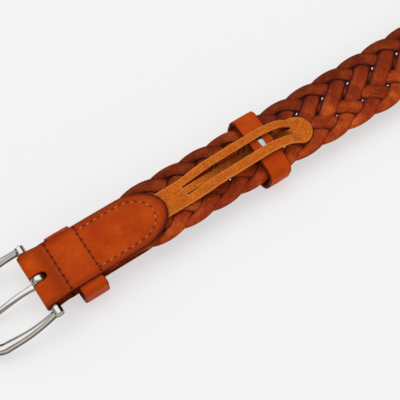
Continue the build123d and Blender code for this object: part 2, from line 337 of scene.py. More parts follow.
def split_leather(name, light, dark, edge):
    """Matte suede-like strip with short fibres, paler cut edges with a painted highlight, and painted shade
    where shade is 1.
    """
    n = material_nodes(name)
    place = n.coords()
    fibre = n.noise(n.stretched(place, (0.55, 1, 1)), 1500, 5, 0.7, 0.4)
    tuft = n.noise(n.stretched(place, (0.7, 1, 1)), 620, 4, 0.7)
    patch = n.noise(place, 150, 4, 0.6)
    color = n.ramp(fibre, [(0.34, dark), (0.66, light)])
    color = n.mix(n.remap(tuft, 0.42, 0.64, 0.0, 0.75), color, dark)
    color = n.mix(n.remap(patch, 0.40, 0.68, 0.0, 0.5), color, [c * 0.8 for c in dark])
    speck = n.remap(n.noise(place, 1100, 2, 0.5), 0.58, 0.68, 0.0, 0.85)
    color = n.mix(speck, color, edge)
    # Paler cut edges: paler cut fibres together with a painted highlight along edges and slits.
    color = n.mix(n.math("MULTIPLY", n.value("edge"), n.remap(fibre, 0.3, 0.6, 0.4, 1.0), True), color, edge)
    # Painted shade on the middle strand where it runs low under the keeper.
    color = n.mix(n.value("shade"), color, [c * 0.18 for c in dark])
    height = n.math("ADD", fibre, tuft)
    normal = n.bump(height, 0.00022, 0.9)
    return n.finish(color, 0.88, normal, Specular_IOR_Level=0.05)


def braid_leather(name, light, middle, dark, edge):
    """Oiled strand leather: its tone varies along and between strands, with painted shade across the belt, in
    creases and in dips.
    """
    n = material_nodes(name)
    place = n.coords()
    uv = n.uv()
    broad = n.noise(n.stretched(uv, (70, 60, 1)), 1.0, 4, 0.6)
    streak = n.noise(n.stretched(uv, (160, 900, 1)), 1.0, 4, 0.6)
    grain = n.noise(n.stretched(uv, (900, 900, 1)), 1.0, 4, 0.65)
    color = n.ramp(broad, [(0.32, dark), (0.5, middle), (0.70, light)])
    color = n.mix(n.remap(streak, 0.40, 0.72, 0.0, 0.6), color, dark)
    color = n.mix(n.remap(grain, 0.45, 0.70, 0.0, 0.5), color, dark)
    color = n.mix(n.remap(n.noise(place, 800, 3, 0.6), 0.56, 0.74, 0.0, 0.5), color, light)
    # Painted shade: the braid's far side, the creases between strands and the dips under another strand.
    color = n.mix(n.value("shade"), color, edge)
    # Dark strand edges: the cut edges' own colour and painted shade where strands meet.
    color = n.mix(n.value("edge"), color, edge)
    pores = n.cells(place, 2200)
    fine = n.noise(place, 4200, 4, 0.6)
    height = n.math("ADD", n.remap(pores, 0.0, 0.5, 0.0, 0.5), n.math("MULTIPLY", fine, 0.7))
    normal = n.bump(height, 0.00014, 0.8)
    normal = n.bump(n.noise(n.stretched(uv, (420, 160, 1)), 1.0, 3, 0.6), 0.0008, 0.6, normal)
    rough = n.remap(grain, 0.3, 0.75, 0.40, 0.60)
    return n.finish(color, rough, normal, Specular_IOR_Level=0.07)


def nickel(name, color, roughness):
    """Polished plated metal with smears, casting ripple and fine scratches; dark reflections are painted
    where shade is 1.
    """
    n = material_nodes(name)
    place = n.coords()
    smear = n.noise(n.stretched(place, (1, 0.4, 1)), 240, 4, 0.6)
    rough = n.remap(smear, 0.3, 0.75, roughness * 0.7, roughness * 1.6)
    tone = n.mix(n.remap(n.noise(place, 900, 4, 0.7), 0.5, 0.75, 0.0, 0.35), color, [c * 0.55 for c in color])
    # Painted dark reflections on the side walls of the frame and the prong.
    tone = n.mix(n.math("MULTIPLY", n.value("shade"), 0.9), tone, [c * 0.10 for c in color])
    normal = n.bump(n.noise(place, 420, 2, 0.5), 0.0002, 0.15)
    normal = n.bump(n.noise(n.stretched(place, (0.15, 1, 1)), 5000, 2, 0.5), 0.00001, 0.4, normal)
    return n.finish(tone, rough, normal, Metallic=1.0)


def waxed_thread(name, color, dark):
    """Twisted thread: diagonal plies along each stitch."""
    n = material_nodes(name)
    uv = n.uv()
    wave = n.add("ShaderNodeTexWave", Vector=uv, Scale=0.9, Distortion=0.4)
    wave.bands_direction = "DIAGONAL"
    shade = n.mix(wave.outputs["Fac"], dark, color)
    # Thread soiled at random.
    soil_and_shade = n.remap(n.noise(n.coords(), 300, 2, 0.5), 0.45, 0.7, 0.0, 0.7)
    shade = n.mix(soil_and_shade, shade, dark)
    normal = n.bump(wave.outputs["Fac"], 0.0001, 0.7)
    return n.finish(shade, 0.6, normal, Specular_IOR_Level=0.2)


TAN = smooth_leather("tan_leather", (0.54, 0.072, 0.002), (0.40, 0.038, 0.001), (0.060, 0.008, 0.006))
STRIP = split_leather("strip_leather", (0.74, 0.185, 0.016), (0.44, 0.080, 0.006), (0.72, 0.26, 0.05))
# The braid's last colour, near black, serves the strands' dark edges and the painted shade.
BRAID = braid_leather("braid_leather", (0.70, 0.125, 0.012), (0.37, 0.041, 0.004), (0.160, 0.013, 0.002),
                      (0.030, 0.003, 0.001))
METAL = nickel("buckle_metal", (0.41, 0.38, 0.35), 0.085)
BRIGHT = nickel("staple_metal", (0.24, 0.29, 0.32), 0.20)
THREAD = waxed_thread("thread", (0.74, 0.50, 0.27), (0.42, 0.19, 0.07))


def put_on(piece, material):
    piece.data.materials.clear()
    piece.data.materials.append(material)


def settle(piece, material, body, node):
    """Finish a piece: its material, the body that it rides and the CAD node that it stands for."""
    put_on(piece, material)
    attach(piece, body)
    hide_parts(node)


# ---------------------------------------------------------------- braid
STRANDS = 6
PITCH = 20.0 * MM
PERIOD = STRANDS * PITCH
STRAND_WIDTH = 11.0 * MM
TURN_NARROWING = 0.36                  # a strand folds narrower where it turns at the edge
STRAND_THICKNESS = 1.8 * MM
REACH = BRAID_WIDTH / 2 - STRAND_WIDTH / 2 * (1 - TURN_NARROWING) + 0.2 * MM
BRAID_SHIFT = 0.45 * MM                # the braid lies a little towards the far edge
SHARPNESS = 0.058                      # share of the third harmonic that straightens the runs
FIRST_TURN = BRAID_START - PERIOD
FAR_ROWS = {2: -1, 1: 1, 0: 1, -1: -1, -2: 1}   # which way is on top in each row, far edge first


def sway(phase):
    """Across position of a strand's middle, and its slope per radian."""
    value = (np.sin(phase) - SHARPNESS * np.sin(3 * phase)) / (1 + SHARPNESS)
    slope = (np.cos(phase) - 3 * SHARPNESS * np.cos(3 * phase)) / (1 + SHARPNESS)
    return value, slope


def strand_line(u, start):
    """Middle of a strand that turns at the near edge at start: v, unit tangent, unit normal."""
    phase = 2 * np.pi * (u - start) / PERIOD - np.pi / 2
    value, slope = sway(phase)
    rate = REACH * slope * 2 * np.pi / PERIOD
    tangent = np.stack([np.ones_like(rate), rate], -1) / np.sqrt(1 + rate**2)[..., None]
    return REACH * value, tangent, np.stack([-tangent[..., 1], tangent[..., 0]], -1)


def table_corners(row, column, count, columns):
    """The four entries of a table round a place, with their weights; its rows wrap round."""
    low = np.floor(row).astype(int)
    left = np.clip(np.floor(column).astype(int), 0, columns - 2)
    up, right = row - low, column - left
    return [(low % count, left, (1 - up) * (1 - right)), ((low + 1) % count, left, up * (1 - right)),
            (low % count, left + 1, (1 - up) * right), ((low + 1) % count, left + 1, up * right)]


def relax_weave(count=240, columns=13, rounds=500):
    """Heights of one strand over a period, from strips that press on each other but don't cross.

    Every strand is the same one shifted along the belt, so one table serves all six.
    """
    u = np.arange(count) * PERIOD / count
    c = np.linspace(-STRAND_WIDTH / 2, STRAND_WIDTH / 2, columns)
    v, tangent, normal = strand_line(u, 0.0)
    x = u[:, None] + c[None, :] * normal[:, :1]
    y = v[:, None] + c[None, :] * normal[:, 1:]
    rising = (u < PERIOD / 2)[:, None] & np.ones((1, columns), bool)
    pairs = []
    for shift, sign in FAR_ROWS.items():
        start = shift * PITCH - PERIOD / 2
        guess = x
        for _ in range(12):             # walks to the nearest place on the other strand's middle
            line_v, line_t, _ = strand_line(guess, start)
            guess = guess + ((x - guess) * line_t[..., 0] + (y - line_v) * line_t[..., 1]) * line_t[..., 0]
        line_v, _, line_n = strand_line(guess, start)
        offset = (x - guess) * line_n[..., 0] + (y - line_v) * line_n[..., 1]
        step = np.mod(guess - start, PERIOD) / PERIOD * count
        i, j = np.nonzero(rising & (step > count / 2) & (np.abs(offset) <= STRAND_WIDTH / 2))
        column = (offset[i, j] / STRAND_WIDTH + 0.5) * (columns - 1)
        pairs.append((i, j, table_corners(step[i, j], column, count, columns), sign))
    z = np.zeros((count, columns))
    gap = STRAND_THICKNESS * 0.92
    stiffness = 0.30
    ease = 0.9                          # share of an overlap that each round takes away
    for _ in range(rounds):
        z = z + stiffness * (np.roll(z, 1, 0) + np.roll(z, -1, 0) - 2 * z)
        bend = z[:, 2:] - 2 * z[:, 1:-1] + z[:, :-2]
        z[:, 1:-1] += stiffness * bend
        z[:, 0] -= stiffness / 2 * bend[:, 0]
        z[:, -1] -= stiffness / 2 * bend[:, -1]
        for i, j, corners, sign in pairs:
            other = sum(z[r, k] * weight for r, k, weight in corners)
            need = np.maximum(0, gap - sign * (z[i, j] - other)) * sign / 2
            z[i, j] += ease * need
            push = np.zeros_like(z)
            weights = np.zeros_like(z)
            for r, k, weight in corners:
                np.add.at(push, (r, k), -need * weight)
                np.add.at(weights, (r, k), weight)
            z += ease * push / np.maximum(weights, 1.0)
    return z


HEIGHTS = relax_weave()


def strand_heights(u, start, across):
    """The relaxed heights of a strand at places u, resampled to the given places across."""
    count, columns = HEIGHTS.shape
    row = (np.mod(u - start, PERIOD) / PERIOD * count)[:, None]
    column = (across / STRAND_WIDTH + 0.5) * (columns - 1)
    return sum(HEIGHTS[r, c] * weight for r, c, weight in table_corners(row, column, count, columns))


def pressed(u):
    """1 where the braid is pressed between the leaves of the tab or the tip, 0 where it is free."""
    tab = 1 - smoothstep(u, TAB_END - 30 * MM, TAB_END - 16 * MM)
    tip = smoothstep(u, TIP_START - 14 * MM, TIP_START)
    return np.maximum(tab, tip)


WIDENING = 0.09


def widening(u):
    """Away from the tab and the tip the braid works a little looser and wider."""
    near_tip = smoothstep(u, TIP_START - 120 * MM, TIP_START)
    return 1 + WIDENING * smoothstep(u, 150 * MM, 290 * MM) * (1 - near_tip)


CREASE_DROP = 0.95 * MM               # inner edge of a strand tucks down beside its neighbour
CROWN = 0.60 * MM                     # a strand is rounder in the middle than at its edges
CUP = 1.15 * MM                       # the turns at the braid's edges stand up a little
BRAID_HALF = 2.1 * MM
DIP_SHADE = 0.40                      # painted shade where a strand goes down under another
PRESSED_NARROWING = 0.20              # the braid is that much narrower where it is pressed
STRAND_UV = 5.0 * MM                  # half of a strand's width in the leather's pattern
STRAND_SHIFT = 0.37                   # metres of pattern between strands, so that each one differs


def make_strand(number):
    """A woven strand: a flat strip bent lengthwise, rising and dipping as in the relaxed weave."""
    start = FIRST_TURN + number * PITCH
    u = np.arange(BRAID_START, BRAID_END, 1.0 * MM)
    half = STRAND_WIDTH / 2
    fractions = shares(21)
    v, tangent, normal = strand_line(u, start)
    phase = 2 * np.pi * (u - start) / PERIOD - np.pi / 2
    columns = fractions * half * (1 - TURN_NARROWING * np.sin(phase)[:, None] ** 8)
    z = strand_heights(u, start, fractions * half)
    lean = np.tanh(6 * np.sin(phase - np.pi / 3))[:, None]
    z = z - CREASE_DROP * np.clip((lean * fractions - 0.12) / 0.88, 0, 1)
    z = z * (BRAID_HALF - STRAND_THICKNESS / 2) / np.abs(HEIGHTS).max()
    x = u[:, None] + columns * normal[:, :1]
    y = v[:, None] + columns * normal[:, 1:]
    press = pressed(u)[:, None]
    z = z + CUP * smoothstep(np.abs(y), 0.62 * BRAID_WIDTH / 2, BRAID_WIDTH / 2) * (1 - press)
    z = z - CROWN * fractions**2 * (1 - press)
    # Painted shade: darker towards the far edge, at each strand's tucked-in edges and where it dips under
    # another; no crease shade at the braid's outer rim.
    outer = smoothstep(np.abs(y), 0.40 * BRAID_WIDTH, 0.48 * BRAID_WIDTH)
    crease = smoothstep(np.abs(fractions), 0.50, 0.98) ** 1.4 * (1 - outer)
    shade = 0.50 * smoothstep(y, -0.15 * BRAID_WIDTH, 0.5 * BRAID_WIDTH) + 0.85 * crease
    top_shade, bottom_shade = [np.clip(shade + DIP_SHADE * smoothstep(depth, 0.0, 1.3 * MM), 0, 0.95)
                               for depth in (-z, z)]
    y = y * ((1 - PRESSED_NARROWING * press) * widening(u)[:, None]) + BRAID_SHIFT * (1 - press)
    thick = STRAND_THICKNESS / 2 * (1 - np.abs(fractions) ** 9) ** 0.5
    rings = around(np.stack([x, y, z + thick], -1), np.stack([x, y, z - thick], -1))
    side = around(fractions[None, :])
    values = {
        # dark cut edges with painted shade between strands; not at the braid's outer rim
        "edge": smoothstep(np.abs(side), 0.88, 0.995) * (1 - 0.95 * around(outer)),
        "shade": around(top_shade, bottom_shade),
    }
    name = f"woven_strand_{number + 1}"
    piece = ring_object(name, rings, u + number * STRAND_SHIFT, (side + 1) * STRAND_UV, values)
    settle(piece, BRAID, "strap", f"braid_strand_{number + 1}")


for number in range(STRANDS):
    make_strand(number)


# ---------------------------------------------------------------- flat leather strips
EDGE_POWER = 2.6                       # how squarely a cut edge turns over


def edge_round(distance, bevel):
    """Share of the thickness left at a distance from the leather's cut edge."""
    x = np.clip(1 - distance / bevel, 0, 1)
    return (1 - x**EDGE_POWER) ** (1 / EDGE_POWER)


def make_strip(name, path, half_widths, thickness, edge_distance, relief, columns, burnish, fold_shade=0.0):
    """A strip of leather swept along a path in the (u, w) plane, with rounded cut edges.

    edge_distance(row, v) is the distance to the cut outline. relief(row, v) gives two depths by
    which the top face is lowered: the pits made by thread, painted dark as shade, and smooth hollows.
    burnish is the width of the dark edge, and the last argument says where shade is painted in a crease.
    """
    normals = route_normals(path)
    fractions = shares(columns)
    v = half_widths[:, None] * fractions
    rows = np.arange(len(path))[:, None]
    distance = edge_distance(rows, v)
    half = thickness / 2 * edge_round(distance, 0.7 * MM)
    dip, sink = relief(rows, v)
    top_up = half - dip - sink
    base = np.stack([np.repeat(path[:, :1], columns, 1), v, np.repeat(path[:, 1:], columns, 1)], -1)
    up = np.stack([normals[:, 0], np.zeros(len(path)), normals[:, 1]], -1)[:, None, :]
    rings = around(base + up * top_up[..., None], base - up * half[..., None])
    values = {
        # rim also carries the painted crease shade, and pit is painted shade in the thread's pits
        "edge": around(1 - smoothstep(distance / burnish, 0.15, 1.0)),
        "rim": around(np.maximum(1 - smoothstep(distance, 0.0, 6 * MM), fold_shade)),
        "pit": around(np.clip(dip / (0.6 * MM), 0, 1)),
    }
    return ring_object(name, rings, route_length(path), around(v), values)


NOSE_POWER = 2.15                      # a little fuller than an ellipse
TINY = 1e-9


def nosed(u, start, nose):
    """Half width of a leaf whose end is about half an ellipse."""
    x = np.clip((u - start) / nose, 0, 1)
    return HALF_LEAF * np.sqrt(1 - x**NOSE_POWER)


def nose_distance(u, v, start, nose, side_half):
    """Distance from a point of a leaf to its outline, taken along the outline's gradient."""
    x = np.clip((u - start) / nose, 0, 1)
    y = np.abs(v) / HALF_LEAF
    radius = np.sqrt(x**NOSE_POWER + y**2 + TINY)
    slope = np.hypot(x / nose, y / HALF_LEAF) / radius + TINY
    inside = np.where(u > start, (1 - radius) / slope * np.clip(radius, 0.3, 1), side_half - np.abs(v))
    return np.maximum(inside, 0)


STITCH_PITCH = 4.6 * MM
CROSS_PITCH = 0.95 * STITCH_PITCH
CROSS_COUNT = 7
CROSS_PLACES = (np.arange(CROSS_COUNT + 1) - CROSS_COUNT / 2) * CROSS_PITCH
EDGE_INSET = 4.0 * MM
NOSE_INSET = 8.0 * MM
NOSE = 25.0 * MM
TAB_STRAIGHT = TAB_END - NOSE
HALF_LEAF = LEAF_WIDTH / 2
LEAST_HALF = 0.05 * MM                 # half width of a leaf at the very end of its nose


def edge_line(start, straight_end, nose):
    """Points every stitch pitch along a leaf's sides and round its end, near side first."""
    half = HALF_LEAF - EDGE_INSET
    dense = [(u, -half) for u in np.arange(start, straight_end, 0.2 * MM)]
    for angle in np.linspace(-np.pi / 2, np.pi / 2, 500):
        dense.append((straight_end + (nose - NOSE_INSET) * math.cos(angle), half * math.sin(angle)))
    dense += [(u, half) for u in np.arange(straight_end, start, -0.2 * MM)]
    dense = np.array(dense)
    total = route_length(dense)[-1]
    return resample(dense, np.linspace(0, total, int(total / STITCH_PITCH) + 1))


TAB_HOLES = edge_line(SECOND_STITCH + 1.0 * MM, TAB_STRAIGHT, NOSE)
CROSS_HOLES = [np.array([(u, v) for v in CROSS_PLACES]) for u in (FIRST_STITCH, SECOND_STITCH)]


def groove(points, u, v, width, depth, hole_radius, hole_depth):
    """How far thread pulls the leather in: a groove along a row of holes, deeper at each hole."""
    drop = np.zeros(np.broadcast(u, v).shape)
    for (u0, v0), (u1, v1) in zip(points[:-1], points[1:]):
        du, dv = u1 - u0, v1 - v0
        part = np.clip(((u - u0) * du + (v - v0) * dv) / (du * du + dv * dv), 0, 1)
        away = np.hypot(u - u0 - part * du, v - v0 - part * dv)
        drop = np.maximum(drop, depth * bell(away, width))
    for u0, v0 in points:
        drop = np.maximum(drop, hole_depth * bell(np.hypot(u - u0, v - v0), hole_radius))
    return drop


def tab_path():
    """Middle line of the folded tab: back leaf, round the bar, front leaf."""
    nose = TAB_STRAIGHT + NOSE * np.sin(np.linspace(np.pi / 2, 0, 120))
    straight = np.arange(TAB_STRAIGHT - 0.4 * MM, 0.3 * MM, -0.3 * MM)
    radius = FOLD_INNER + LEAF / 2
    turn = np.linspace(np.pi / 2, 3 * np.pi / 2, 40)
    back = [(u, BAR_LEVEL + radius) for u in np.concatenate([nose, straight])]
    fold = [(radius * math.cos(a), BAR_LEVEL + radius * math.sin(a)) for a in turn]
    front = [(u, BAR_LEVEL - radius) for u in np.concatenate([nose, straight])[::-1]]
    return np.array(back + fold + front)


FIRST_SINK = 1.25 * MM                 # the first cross row pulls the leaves in behind the bar
SECOND_SINK = 0.22 * MM
SIDE_SINK = 0.25 * MM                  # the leaves droop at their sides


def make_tab():
    """The folded leather with its sunk stitch rows and the prong's slot."""
    path = tab_path()
    u = path[:, 0]
    flare = (FOLD_WIDTH / 2 - HALF_LEAF) * (1 - smoothstep(u, 1 * MM, FIRST_STITCH))
    half = np.maximum(nosed(u, TAB_STRAIGHT, NOSE) + flare, LEAST_HALF)
    burnish = (0.8 * MM + 1.9 * MM * smoothstep(u, TAB_STRAIGHT, TAB_END - 8 * MM))[:, None]

    def distance(row, v):
        return nose_distance(u[row], v, TAB_STRAIGHT, NOSE, half[row])

    def relief(row, v):
        place = np.broadcast_to(u[row], v.shape)
        pit = groove(TAB_HOLES, place, v, 0.55 * MM, 0.16 * MM, 0.55 * MM, 0.85 * MM)
        for holes in CROSS_HOLES:
            pit = np.maximum(pit, groove(holes, place, v, 0.50 * MM, 0.45 * MM, 0.70 * MM, 1.1 * MM))
        sink = FIRST_SINK * bell(place - FIRST_STITCH, 3.2 * MM)
        sink = sink + SECOND_SINK * bell(place - SECOND_STITCH, 2.4 * MM)
        sink = sink + SIDE_SINK * (np.abs(v) / HALF_LEAF) ** 4
        off_fold = place > 2 * MM
        return np.where(off_fold, pit, 0), np.where(off_fold, sink, 0)

    # Painted shade in the crease between the fold and the first stitch row.
    fold_shade = (0.8 * bell(u - 8.5 * MM, 4.5 * MM))[:, None]
    piece = make_strip("buckle_tab_leather", path, half, LEAF, distance, relief, 150, burnish, fold_shade)
    cut_slot(piece)
    settle(piece, TAN, "strap", "buckle_tab")


def cut_slot(piece):
    """The prong's slot through the fold, round at both ends."""
    half = 2.75 * MM
    end = 5.5 * MM - half
    beyond = -12 * MM                  # past the fold
    height = 9 * MM                    # past both leaves
    outline = [(end + half * math.sin(a), half * math.cos(a)) for a in np.linspace(0, np.pi, 16)]
    outline += [(beyond, -half), (beyond, half)]
    points = [(u, v, w) for w in (-height, height) for u, v in outline]
    cutter = make_object("slot_cutter", to_row(points), tube_faces(2, len(outline)), smooth=False)
    outward(cutter)
    modifier = piece.modifiers.new("slot", "BOOLEAN")
    modifier.object = cutter
    modifier.operation = "DIFFERENCE"
    modifier.solver = "EXACT"
    apply_modifiers(piece)
    bpy.data.objects.remove(cutter)


def apply_modifiers(piece):
    depsgraph = bpy.context.evaluated_depsgraph_get()
    mesh = bpy.data.meshes.new_from_object(piece.evaluated_get(depsgraph))
    piece.modifiers.clear()
    piece.data = mesh


LOOP_STEP = 0.5 * MM


def loop_path(left, right, low, high, top_radius, bottom_radius):
    """Points round a rounded rectangle in the (v, w) plane, anticlockwise."""
    points = []
    top = high - top_radius
    bottom = low + bottom_radius
    for cv, cw, start, radius in ((right - top_radius, top, 0, top_radius),
                                  (left + top_radius, top, 90, top_radius),
                                  (left + bottom_radius, bottom, 180, bottom_radius),
                                  (right - bottom_radius, bottom, 270, bottom_radius)):
        for a in np.linspace(math.radians(start), math.radians(start + 90), 12):
            points.append((cv + radius * math.cos(a), cw + radius * math.sin(a)))
    points = np.array(points + points[:1])
    return resample(points, np.arange(0, route_length(points)[-1], LOOP_STEP))


INNER_EDGE = 0.75                      # how dark the painted shade is on a keeper's rough inner face, inside the loop


def make_band(name, center_u, width, route, thickness, skew, lean):
    """A keeper: a band of leather round a closed route in the (v, w) plane.

    skew turns it in plan and lean tilts it along the belt, both as a slope.
    """
    tangent = np.roll(route, -1, 0) - np.roll(route, 1, 0)
    tangent /= np.linalg.norm(tangent, axis=1)[:, None]
    out = np.stack([tangent[:, 1], -tangent[:, 0]], -1)
    fractions = shares(25)
    across = fractions * width / 2
    distance = width / 2 - np.abs(across)
    half = thickness / 2 * edge_round(distance, 0.6 * MM)
    crown = 0.12 * MM * (1 - fractions**2)
    middle = center_u + route[:, :1] * skew + route[:, 1:] * lean
    u = middle + across[None, :]

    def surface(offset):
        v = route[:, :1] + out[:, :1] * offset
        w = route[:, 1:] + out[:, 1:] * offset
        return np.stack([u, v, w], -1)

    near = 1 - smoothstep(distance, 0.2 * MM, 1.1 * MM)
    # Painted shade over the inner face; the outer face gets only its dark cut edges.
    edge = around(near[None, :], np.full((1, len(fractions)), INNER_EDGE))
    rings = around(surface(half + crown), surface(-half))
    along = np.arange(len(route)) * LOOP_STEP
    return ring_object(name, rings, along, around(across[None, :]), {"edge": edge}, closed=True)


FIXED_WIDTH = 15.6 * MM
KEEPER_ROOM = 7.8 * MM                 # free height between the tab and the fixed keeper
KEEPER_HANG = 0.9 * MM                 # the fixed keeper stands out that much more at the near edge
KEEPER_SHIFT = 1.0 * MM                # the two keepers sit that much nearer to each other than in CAD


def make_fixed_keeper():
    """The loop sewn in between the leaves; it hangs a little further out at the near edge."""
    center = middle_u("fixed_keeper") + KEEPER_SHIFT
    low_v, high_v = v_range("fixed_keeper")
    half = LAYER / 2
    near_v = low_v - KEEPER_HANG + half
    low_w = TAB_BOTTOM - KEEPER_ROOM - half
    route = loop_path(near_v, high_v - half, low_w, LAYER + 0.2 * half, 2.6 * MM, 5.0 * MM)
    piece = make_band("fixed_keeper_leather", center, FIXED_WIDTH, route, 0.94 * LAYER, -0.045, 0.0)
    settle(piece, TAN, "strap", "fixed_keeper")


KEEPER_THICKNESS = 1.7 * MM
SLIDING_ROOM = 7.6 * MM                # free height between the braid and the sliding keeper
SLIDING_GAP = 0.25 * MM                # between the sliding keeper and the strip, above and below
STAPLE_THICKNESS = 0.6 * MM
KEEPER_TOP = LAYER + STRIP_THICKNESS + SLIDING_GAP + KEEPER_THICKNESS
KEEPER_BOTTOM = -LAYER - SLIDING_ROOM - KEEPER_THICKNESS
KEEPER_CENTER = middle_u("sliding_keeper")
SLIDING_WIDTH = 15.2 * MM
TOP_RADIUS = 4.6 * MM
TOP_BULGE = 0.7 * MM


def make_sliding_keeper():
    """The loop round the braid and the strip's middle strand; its top bulges up between the corners."""
    low_v, high_v = v_range("sliding_keeper")
    half = KEEPER_THICKNESS / 2
    low_w, high_w = KEEPER_BOTTOM + half, KEEPER_TOP - half
    route = loop_path(low_v + half, high_v - half, low_w, high_w, TOP_RADIUS, 6.5 * MM)
    on_top = smoothstep(route[:, 1], high_w - TOP_RADIUS, high_w)
    bulge = TOP_BULGE * (1 - (route[:, 0] / high_v) ** 2) * on_top
    route[:, 1] += np.clip(bulge, 0, None) - SLIDING_GAP
    center = KEEPER_CENTER - KEEPER_SHIFT
    piece = make_band("sliding_keeper_leather", center, SLIDING_WIDTH, route, KEEPER_THICKNESS, 0.05, 0.20)
    settle(piece, TAN, "sliding_keeper", "sliding_keeper")


# ---------------------------------------------------------------- slotted strip
SLIT_START = 98.0 * MM
SLIT_END = 174.5 * MM
BRIDGE_START = 117.6 * MM              # from here the side strands are high enough for the keeper
SLIT = 1.2 * MM
STRIP_WIDTH = 17.8 * MM
STRIP_ROOT_WIDTH = 16.6 * MM
FAR_STRAND = 4.9 * MM
MIDDLE_STRAND = 4.6 * MM
END_RADIUS = 9.4 * MM
END_SHIFT = -3.5 * MM
BRIDGE = KEEPER_TOP + STAPLE_THICKNESS + SLIDING_GAP + STRIP_THICKNESS / 2
STRIP_LEVEL = LAYER + STRIP_THICKNESS / 2 + 0.1 * MM


def make_slotted_strip():
    """A plan grid with two slits left open; its middle strand stays low and the others bridge."""
    root = TAB_END - 20 * MM
    end_center = STRIP_END - END_RADIUS
    rounded = end_center + END_RADIUS * np.sin(np.linspace(0, np.pi / 2, 22))
    u = np.concatenate([np.arange(root, end_center, 0.7 * MM), rounded])
    half = np.interp(u, [root, SLIT_START, SLIT_START + 12 * MM, SLIT_END, end_center],
                     [STRIP_ROOT_WIDTH / 2] * 2 + [STRIP_WIDTH / 2] * 2 + [END_RADIUS])
    past = np.clip((u - end_center) / END_RADIUS, 0, 1)
    half = half * np.sqrt(np.clip(1 - past**2, 1e-5, 1))
    shift = END_SHIFT * smoothstep(u, KEEPER_CENTER, STRIP_END - 4 * MM)
    far_edge = STRIP_WIDTH / 2
    middle_top = far_edge - FAR_STRAND - SLIT
    middle_bottom = middle_top - MIDDLE_STRAND
    cuts = [-far_edge, middle_bottom - SLIT, middle_bottom, middle_top, middle_top + SLIT, far_edge]
    places = []
    open_column = []
    for low, high, is_slit in zip(cuts[:-1], cuts[1:], (False, True, False, True, False)):
        count = 2 if is_slit else 7
        places += list(np.linspace(low, high, count, endpoint=False))
        open_column += [is_slit] * count
    places = np.array(places + [far_edge])
    columns = places / far_edge
    v = shift[:, None] + half[:, None] * columns
    start = np.clip((u - SLIT_START) / (BRIDGE_START - SLIT_START), 0, 1)
    end = np.clip((SLIT_END + 2 * MM - u) / (10 * MM), 0, 1)
    climb = 1 + 0.34 * smoothstep(u, BRIDGE_START - 14 * MM, KEEPER_CENTER)
    rise = (0.5 * start + 0.5 * smoothstep(start, 0, 1)) * climb * np.sin(end * np.pi / 2) ** 1.3
    middle_share = 1.0 * ((places > middle_bottom - TINY) & (places < middle_top + TINY))
    w = STRIP_LEVEL + (BRIDGE - STRIP_LEVEL) * rise[:, None] * (1 - middle_share)
    sag = 0.45 * MM * np.sin(np.clip((u - SLIT_START) / (SLIT_END - SLIT_START), 0, 1) * np.pi)
    w = w - sag[:, None] * middle_share
    # Painted shade: the middle strand darkens towards the keeper and fades out again by the slits' end.
    soil_and_shade = smoothstep(u, SLIT_START + 6 * MM, KEEPER_CENTER - 8 * MM)
    soil_and_shade = soil_and_shade * (1 - smoothstep(u, SLIT_END - 4 * MM, SLIT_END + 1 * MM))
    shade = 0.80 * soil_and_shade[:, None] * middle_share
    points = np.stack([np.repeat(u[:, None], len(places), 1), v, w], -1)
    faces = []
    for number, face in enumerate(grid_faces(len(u), len(places))):
        row, column = divmod(number, len(places) - 1)
        inside = SLIT_START < (u[row] + u[row + 1]) / 2 < SLIT_END
        if not (inside and open_column[column]):
            faces.append(face)
    slit_away = np.abs(places[:, None] - np.array(cuts[1:-1])).min(1)
    slit_near = ((u > SLIT_START - 1 * MM) & (u < SLIT_END + 1 * MM))[:, None] & (slit_away < 0.4 * MM)
    rim = np.minimum(half[:, None] * (1 - np.abs(columns)), (STRIP_END - u)[:, None])
    # Cut edges and slit sides are painted paler, partly as a highlight; none in the painted shade.
    edge = np.maximum(slit_near * 0.75, 1 - smoothstep(rim, 0.1 * MM, 0.9 * MM))
    uvs = points[..., :2].reshape(-1, 2)
    piece = make_object("slotted_strip_leather", to_row(points.reshape(-1, 3)), faces, uvs,
                        {"edge": (edge * (1 - shade)).ravel(), "shade": shade.ravel()})
    edit_mesh(piece, drop_loose)
    solid = piece.modifiers.new("thickness", "SOLIDIFY")
    solid.thickness = STRIP_THICKNESS
    solid.offset = 0
    soft = piece.modifiers.new("soft edge", "BEVEL")
    soft.width = 0.28 * MM
    soft.segments = 2
    soft.limit_method = "ANGLE"
    soft.angle_limit = math.radians(50)
    apply_modifiers(piece)
    outward(piece)
    settle(piece, STRIP, "strap", "slotted_strip")


def drop_loose(work):
    """Delete the points that no face uses."""
    bmesh.ops.delete(work, geom=[p for p in work.verts if not p.link_faces], context="VERTS")


# ---------------------------------------------------------------- thread
THREAD_RADIUS = 0.30 * MM
STITCH_SHARE = 0.50                    # a stitch shows over that share of the way between two holes
STITCH_DIVE = 0.85 * MM                # its ends go down that far


